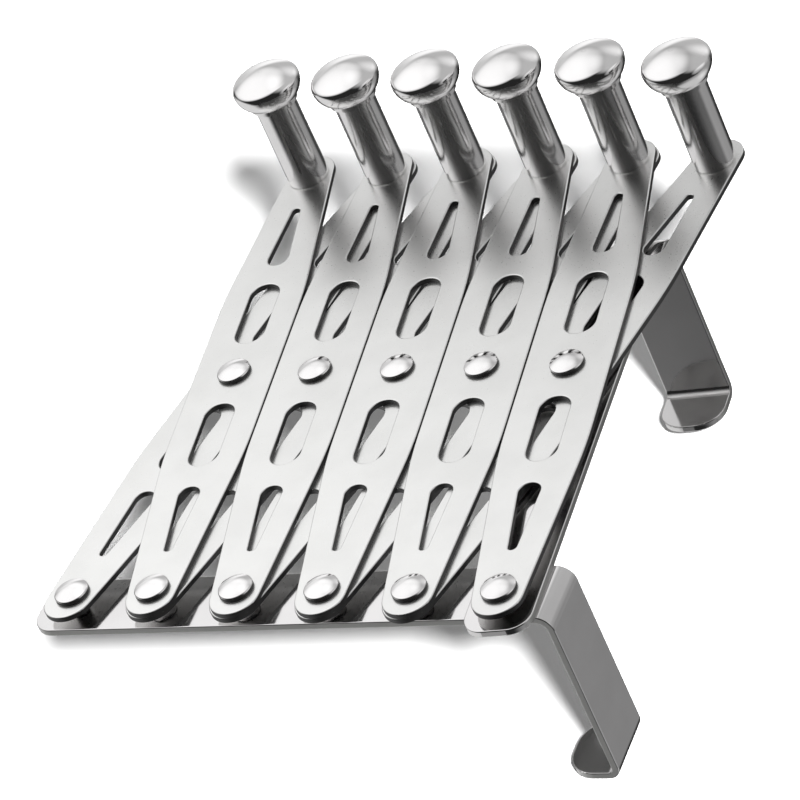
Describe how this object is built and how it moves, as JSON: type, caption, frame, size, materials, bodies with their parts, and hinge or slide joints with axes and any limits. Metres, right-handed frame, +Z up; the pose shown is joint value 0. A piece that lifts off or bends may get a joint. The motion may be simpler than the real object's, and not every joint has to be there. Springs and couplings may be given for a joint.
{
  "type": "expanding over-door hook rack",
  "caption": "Accordion lattice of punched steel slats with mushroom-headed pegs along the top and two swivelling bent-strip hooks that hang it over a door; shown folded shut.",
  "frame": {"origin": "middle of the seat where the right hook rests on the top of the door", "axes": "+X along the rack to the right, +Y towards the door, +Z up"},
  "size_m": [0.1488, 0.0911, 0.1814],
  "materials": {
    "satin_steel": "fine satin stainless sheet",
    "strip_steel": "smooth grey stainless strip",
    "polished_steel": "mirror polished"
  },
  "bodies": {
    "right_door_hook": {"right_door_hook": "strip_steel"},
    "front_1": {"front_slat_1": "satin_steel", "middle_rivet_1": "polished_steel", "bottom_rivet_2": "polished_steel", "peg_1": "polished_steel"},
    "front_2": {"front_slat_2": "satin_steel", "middle_rivet_2": "polished_steel", "bottom_rivet_3": "polished_steel", "peg_2": "polished_steel"},
    "front_3": {"front_slat_3": "satin_steel", "middle_rivet_3": "polished_steel", "bottom_rivet_4": "polished_steel", "peg_3": "polished_steel"},
    "front_4": {"front_slat_4": "satin_steel", "middle_rivet_4": "polished_steel", "bottom_rivet_5": "polished_steel", "peg_4": "polished_steel"},
    "front_5": {"front_slat_5": "satin_steel", "middle_rivet_5": "polished_steel", "bottom_rivet_6": "polished_steel", "peg_5": "polished_steel"},
    "back_1": {"back_slat_1": "satin_steel", "bottom_rivet_1": "polished_steel"},
    "back_2": {"back_slat_2": "satin_steel"},
    "back_3": {"back_slat_3": "satin_steel"},
    "back_4": {"back_slat_4": "satin_steel"},
    "back_5": {"back_slat_5": "satin_steel", "peg_6": "polished_steel"},
    "left_door_hook": {"left_door_hook": "strip_steel"}
  },
  "joints": [
    {"name": "right_hook_swivel", "type": "hinge", "parent": "right_door_hook", "child": "front_5", "pos_m": [0, -0.0276, -0.125], "axis": [0, -1, 0], "range_deg": [-5, 57.2]},
    {"name": "expand", "type": "hinge", "parent": "front_5", "child": "back_4", "pos_m": [-0.00757, -0.0276, 0.02821], "axis": [0, 1, 0], "range_deg": [0, 102.75]},
    {"name": "middle_pivot_5", "type": "hinge", "parent": "front_5", "child": "back_5", "pos_m": [-0.00378, -0.0276, -0.04839], "axis": [0, 1, 0], "range_deg": [0, 102.75]},
    {"name": "middle_pivot_4", "type": "hinge", "parent": "back_4", "child": "front_4", "pos_m": [-0.02668, -0.0276, -0.04607], "axis": [0, 1, 0], "range_deg": [-102.75, 0]},
    {"name": "bottom_pivot_4", "type": "hinge", "parent": "back_4", "child": "front_3", "pos_m": [-0.04579, -0.0276, -0.12035], "axis": [0, 1, 0], "range_deg": [-102.75, 0]},
    {"name": "middle_pivot_3", "type": "hinge", "parent": "front_3", "child": "back_3", "pos_m": [-0.04957, -0.0276, -0.04374], "axis": [0, 1, 0], "range_deg": [0, 102.75]},
    {"name": "peg_pivot_3", "type": "hinge", "parent": "front_3", "child": "back_2", "pos_m": [-0.05335, -0.0276, 0.03286], "axis": [0, 1, 0], "range_deg": [0, 102.75]},
    {"name": "middle_pivot_2", "type": "hinge", "parent": "back_2", "child": "front_2", "pos_m": [-0.07246, -0.0276, -0.04142], "axis": [0, 1, 0], "range_deg": [-102.75, 0]},
    {"name": "bottom_pivot_2", "type": "hinge", "parent": "back_2", "child": "front_1", "pos_m": [-0.09157, -0.0276, -0.1157], "axis": [0, 1, 0], "range_deg": [-102.75, 0]},
    {"name": "middle_pivot_1", "type": "hinge", "parent": "front_1", "child": "back_1", "pos_m": [-0.09535, -0.0276, -0.03909], "axis": [0, 1, 0], "range_deg": [0, 102.75]},
    {"name": "left_hook_swivel", "type": "hinge", "parent": "back_1", "child": "left_door_hook", "pos_m": [-0.11446, -0.0276, -0.11337], "axis": [0, -1, 0], "range_deg": [-5, 139.2]}
  ],
  "couplings": [
    {"joint": "middle_pivot_5", "follows": "expand", "ratio": 1},
    {"joint": "middle_pivot_4", "follows": "expand", "ratio": -1},
    {"joint": "bottom_pivot_4", "follows": "expand", "ratio": -1},
    {"joint": "middle_pivot_3", "follows": "expand", "ratio": 1},
    {"joint": "peg_pivot_3", "follows": "expand", "ratio": 1},
    {"joint": "middle_pivot_2", "follows": "expand", "ratio": -1},
    {"joint": "bottom_pivot_2", "follows": "expand", "ratio": -1},
    {"joint": "middle_pivot_1", "follows": "expand", "ratio": 1}
  ]
}
